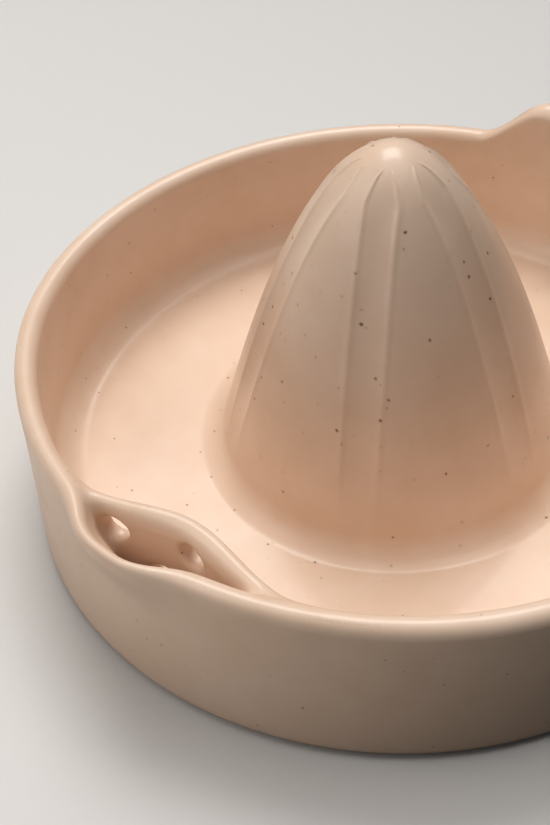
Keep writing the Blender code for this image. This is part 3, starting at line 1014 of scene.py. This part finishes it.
    def bars(self) -> bpy.types.Object:
        """Bars that pierce the wall, for the cut only."""
        bm = bmesh.new()
        for turn, height in self.holes():
            middle = self.dish.inner_radius(height) - self.bar / 2 - self.bar_back
            lay = Matrix.Translation((middle, 0.0, height)) @ Matrix.Rotation(math.pi / 2, 4, "Y")
            lay = Matrix.Rotation(self.bearing + turn, 4, "Z") @ lay
            lay = Matrix.Translation((self.dish.axis_x, 0.0, 0.0)) @ lay
            bmesh.ops.create_cone(
                bm, cap_ends=True, segments=24, depth=self.bar, matrix=lay,
                radius1=self.hole / 2, radius2=self.hole / 2)
        return place("bars", to_mesh(bm, "bars"))

    def patch(self) -> bpy.types.Mesh:
        """Slice of the dish that the wall is fused with."""
        deep = self.luting.deep
        skin = self.dish.skin(deep, self.patch_top, PATCH_FLOOR)
        back = self.dish.skin(self.patch_depth + deep, self.patch_top, PATCH_FLOOR)
        back = [(radius, z) for radius, z in back
                if z < self.patch_back_top and radius < self.dish.inner_radius(z) + self.patch_behind]
        return self.dish.patch(skin + back[::-1], self.bearing, self.patch_angle, "strainer_patch")

    def mesh(self, base: Clay) -> bpy.types.Mesh:
        """Make the wall and fuse it with the dish."""
        bars = self.bars()
        cut = {"operation": "DIFFERENCE", "solver": "EXACT", "object": bars}
        body = after_modifiers(self.body(), [("BOOLEAN", cut)])
        bpy.data.objects.remove(bars)
        return self.luting.fuse([body, self.patch()], base, self, "strainer")


@dataclass(frozen=True)
class Handle:
    """Short lug handle, with the rim swept up into it."""

    dish: Dish
    reach: float = 20.5 * MM
    start: float = -3.0 * MM
    width: float = 37.0 * MM
    thickness: float = 8.5 * MM
    root_width: float = 51.0 * MM
    root_bottom_width: float = 20.0 * MM
    root_bottom: float = 11.6 * MM
    flare: float = 11.0 * MM
    tip_round: float = 13.0 * MM
    tip_width: float = 13.0 * MM
    tip_thickness: float = 0.8 * MM
    droop: float = 3.5 * MM
    set_down: float = 0.7 * MM
    square_root: float = 4.5
    square_tip: float = 2.4
    stations: int = 40
    ring_points: int = 72
    patch_angle: float = math.radians(31.0)
    patch_bottom: float = 7.0 * MM
    patch_inner_bottom: float = 24.0 * MM
    patch_depth: float = 2.4 * MM
    luting: Luting = Luting(voxel=0.6 * MM, blend=3.5 * MM, fade=4.0 * MM)

    def narrowing(self, up: float) -> float:
        """Share of the root's width at a height up its section, which runs from -1 to 1."""
        below = min(max(-up, 0.0), 1.0)
        return mix(1.0, self.root_bottom_width / self.root_width, 1.0 - math.sqrt(1.0 - below ** 2))

    def ring(self, reach: float) -> list[Vector]:
        """Closed section of the handle at a reach beyond the wall."""
        flare = (1.0 - min(max(reach, 0.0) / self.flare, 1.0)) ** 2
        tip_part = min(max(1.0 - (self.reach - reach) / self.tip_round, 0.0), 1.0)
        tip = 1.0 - math.sqrt(1.0 - tip_part ** 2)
        width = mix(mix(self.width, self.root_width, flare), self.tip_width, tip)
        along = float(smooth_step(reach, 0.0, self.reach))
        top = self.dish.rim_height - self.set_down - (self.droop - self.set_down) * along
        underside = mix(self.dish.rim_height - self.droop - self.thickness, self.root_bottom, flare)
        thickness = mix(top - underside, self.tip_thickness, tip)
        power = 2.0 / mix(self.square_root, self.square_tip, along)
        straighten = float(smooth_step(reach, 0.0, self.flare))
        ring = []
        for step in range(self.ring_points):
            angle = math.tau * step / self.ring_points
            across = math.copysign(abs(math.cos(angle)) ** power, math.cos(angle))
            up = math.copysign(abs(math.sin(angle)) ** power, math.sin(angle))
            across *= mix(self.narrowing(up), 1.0, straighten)
            height = (top + underside) / 2 + thickness / 2 * up
            ring.append(Vector((self.dish.rim_radius + reach, width / 2 * across, height)))
        return ring

    def body(self) -> bpy.types.Mesh:
        """Draw the handle out, its steps finer towards the tip."""
        turns = [math.sin(math.pi / 2 * number / self.stations) for number in range(self.stations + 1)]
        rings = [self.ring(mix(self.start, self.reach, turn)) for turn in turns]
        return self.dish.throw(to_mesh(loft_rings(rings), "handle_body"))

    def patch(self) -> bpy.types.Mesh:
        """Slice of the wall and rim that the handle is fused with."""
        deep = self.luting.deep
        skin = self.dish.skin(deep, self.patch_bottom, PATCH_FLOOR)
        low, top = self.patch_inner_bottom, self.dish.rim_height - deep
        rim_top = next(number for number, point in enumerate(skin) if point[1] >= top)
        line = skin[:rim_top] + [point for point in skin[rim_top:] if point[1] > low]
        heights = even_steps(low, self.patch_bottom, 3.0 * MM)
        back = [(self.dish.outer_radius(z) - self.patch_depth, z) for z in heights]
        return self.dish.patch(line + back, 0.0, self.patch_angle, "handle_patch")

    def mesh(self, base: Clay) -> bpy.types.Mesh:
        """Make the handle and fuse it with the dish."""
        body = self.body()
        return self.luting.fuse([body, self.patch()], base, MeshClay(body), "handle")


@dataclass(frozen=True)
class FootRing:
    """Turned foot ring, left without glaze."""

    dish: Dish
    outer: float = 61.5 * MM
    width: float = 5.0 * MM
    height: float = 2.0 * MM
    edge: float = 0.6 * MM
    embed: float = 0.6 * MM

    def mesh(self) -> bpy.types.Mesh:
        """Turn the ring, its top let into the dish's underside."""
        inner = self.outer - self.width
        line = arc((inner + self.edge, self.edge), (self.edge,) * 2, -180.0, -90.0, 6)
        line += arc((self.outer - self.edge, self.edge), (self.edge,) * 2, -90.0, 0.0, 6)
        top = self.dish.underside + self.embed
        line += [(self.outer, top), (inner, top)]
        bm = spin_line(line, 0.0, [(math.tau, 240)], closed=True)
        mesh = to_mesh(bm, "turned_foot")
        set_points(mesh, points_of(mesh) + (self.dish.axis_x, 0.0, 0.0))
        return shade(mesh)


@dataclass(frozen=True)
class Lamp:
    """Soft square lamp that looks at the dish."""

    name: str
    bearing: float
    elevation: float
    distance: float
    size: tuple[float, float]
    watts: float
    colour: Colour = (1.0, 1.0, 1.0)

    def hang(self, target: Vector) -> bpy.types.Object:
        """Hang the lamp and turn it to the target.

        Args:
            target: Point that it looks at.

        Returns:
            The lamp.
        """
        data = bpy.data.lights.new(self.name, "AREA")
        data.shape = "RECTANGLE"
        data.size, data.size_y = self.size
        data.energy = self.watts
        data.color = self.colour
        lamp = place(self.name, data)
        turn, up = math.radians(self.bearing), math.radians(self.elevation)
        way = Vector((math.cos(up) * math.cos(turn), math.cos(up) * math.sin(turn), math.sin(up)))
        lamp.location = target + way * self.distance
        lamp.rotation_euler = way.to_track_quat("Z", "Y").to_euler()
        return lamp


@dataclass(frozen=True)
class Studio:
    """Pale table, soft light and the photograph's camera."""

    lens: float = 56.74
    sensor: float = 36.0
    floor_size: float = 6.0
    floor_drop: float = 0.1 * MM
    table: Colour = (0.70, 0.685, 0.672)
    # Painted shade: the table as the camera sees it darkens from the table colour to this one along the sweep
    # bearing, standing in for light that falls off toward the back right.
    table_far_painted_shade: Colour = (0.52, 0.507, 0.503)
    # Painted light and shade in the table's colour for all rays but camera rays: bright on the left, nearly
    # black on the right, so reflected light brightens the dish's left side and leaves its right side dark.
    painted_bounce_light: Colour = (0.72, 0.68, 0.64)
    painted_bounce_shade: Colour = (0.04, 0.034, 0.028)
    sweep_bearing: float = math.radians(10.0)
    sweep_from: float = -0.12
    sweep_to: float = 0.36
    bounce_bearing: float = math.radians(150.0)
    bounce_from: float = 0.0
    bounce_to: float = 0.12
    grain_scale: float = 700.0
    roughness: float = 0.7
    bump: float = 0.15
    bump_height: float = 0.3 * MM
    ambient: Colour = (0.95, 0.97, 1.0)
    ambient_strength: float = 0.085
    gloss_strength: float = 0.18
    shown_strength: float = 0.80
    lamps: tuple[Lamp, ...] = (
        Lamp("window", 45.0, 60.0, 1.2, (0.62, 0.62), 9.2, (1.0, 0.985, 0.96)),
        Lamp("overhead", 39.5, 85.0, 1.4, (1.2, 1.2), 7.2, (1.0, 0.98, 0.95)),
        Lamp("left_side", 145.0, 38.0, 1.2, (0.8, 0.8), 3.4, (1.0, 0.95, 0.89)),
        Lamp("right_side", -45.0, 60.0, 1.2, (0.5, 0.5), 0.9, (1.0, 0.97, 0.95)),
    )

    def place_camera(self) -> None:
        """Stand the camera where the photograph was taken from."""
        data = bpy.data.cameras.new("camera")
        data.lens = self.lens
        data.sensor_width = self.sensor
        data.clip_start = 0.01
        camera = place("camera", data)
        camera.matrix_world = Matrix((
            (0.68619, 0.52839, -0.49995, -0.15048),
            (-0.72508, 0.44167, -0.52839, -0.11622),
            (-0.05838, 0.72508, 0.68619, 0.18469),
            (0.0, 0.0, 0.0, 1.0),
        ))
        bpy.context.scene.camera = camera

    def lay_table(self) -> None:
        """Lay the pale table top under the juicer, with painted shade in the colour the camera sees and
        painted bounce light in the colour other rays see.
        """
        made, board, shader, spot = start_material("table_top")
        grain = board.noise(spot, self.grain_scale, 3.0)
        # Painted shade: the camera-seen table colour darkens along the sweep bearing, where the lamps' light
        # falls off.
        sweep = board.across(spot, self.sweep_bearing, self.sweep_from, self.sweep_to)
        shown = board.blend(sweep, self.table, self.table_far_painted_shade)
        # Painted light and shade: rays other than camera rays see the table bright on the left and dark on
        # the right, which lights the dish's left wall more than its right.
        side = board.across(spot, self.bounce_bearing, self.bounce_from, self.bounce_to)
        bounce = board.blend(side, self.painted_bounce_shade, self.painted_bounce_light)
        seen = board.add("LightPath").outputs["Is Camera Ray"]
        board.feed(shader.inputs["Base Color"], board.blend(seen, bounce, shown))
        shader.inputs["Roughness"].default_value = self.roughness
        bump = board.add("Bump", Height=grain, Strength=self.bump, Distance=self.bump_height)
        board.feed(shader.inputs["Normal"], bump.outputs["Normal"])
        bm = bmesh.new()
        bmesh.ops.create_grid(bm, x_segments=1, y_segments=1, size=self.floor_size / 2)
        bmesh.ops.translate(bm, verts=bm.verts, vec=(0.0, 0.0, -self.floor_drop))
        mesh = to_mesh(bm, "table_top")
        mesh.materials.append(made)
        place("table_top", mesh)

    def fill_air(self) -> None:
        """Light the scene softly from all around, and show a paler background."""
        world = bpy.data.worlds.new("studio")
        bpy.context.scene.world = world
        world.use_nodes = True
        board = Board(world.node_tree)
        path = board.add("LightPath")
        seen = board.sum("MAXIMUM", path.outputs["Is Camera Ray"], path.outputs["Is Transmission Ray"])
        glossy = path.outputs["Is Glossy Ray"]
        shine = board.ramp(glossy, 0.0, 1.0, self.ambient_strength, self.gloss_strength)
        shine = board.sum("MAXIMUM", shine, board.sum("MULTIPLY", seen, self.shown_strength))
        air = world.node_tree.nodes["Background"]
        air.inputs["Color"].default_value = (*self.ambient, 1.0)
        board.feed(air.inputs["Strength"], shine)

    def set_up(self, target: Vector) -> None:
        """Set up table, air, lamps and camera."""
        bpy.context.scene.view_settings.view_transform = "Standard"
        self.lay_table()
        self.fill_air()
        for lamp in self.lamps:
            lamp.hang(target)
        self.place_camera()


def main() -> None:
    """Build and dress every piece, then the studio around them."""
    logging.basicConfig(level=logging.INFO, format="%(message)s")
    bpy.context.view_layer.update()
    dish = Dish()
    glaze = SatinGlaze()

    thrown = dish.mesh()
    clay = MeshClay(thrown)
    set_piece("glazed_dish", thrown, glaze.material("satin_dish"), Node.DISH, Slot.DISH)
    set_piece("glazed_cone", Cone(dish).mesh(), SatinGlaze(speck_size=0.95).material("satin_cone"),
              Node.CONE, Slot.CONE)
    set_piece("glazed_strainer", Strainer(dish).mesh(clay), glaze.material("satin_strainer"),
              Node.STRAINER, Slot.STRAINER)
    set_piece("glazed_handle", Handle(dish).mesh(clay), glaze.material("satin_handle"),
              Node.HANDLE, Slot.HANDLE)
    set_piece("bare_foot", FootRing(dish).mesh(), BareClay().material("bare_clay"), Node.FOOT, Slot.FOOT)

    Studio().set_up(Vector((dish.axis_x, 0.0, 0.03)))


if __name__ == "__main__":
    main()
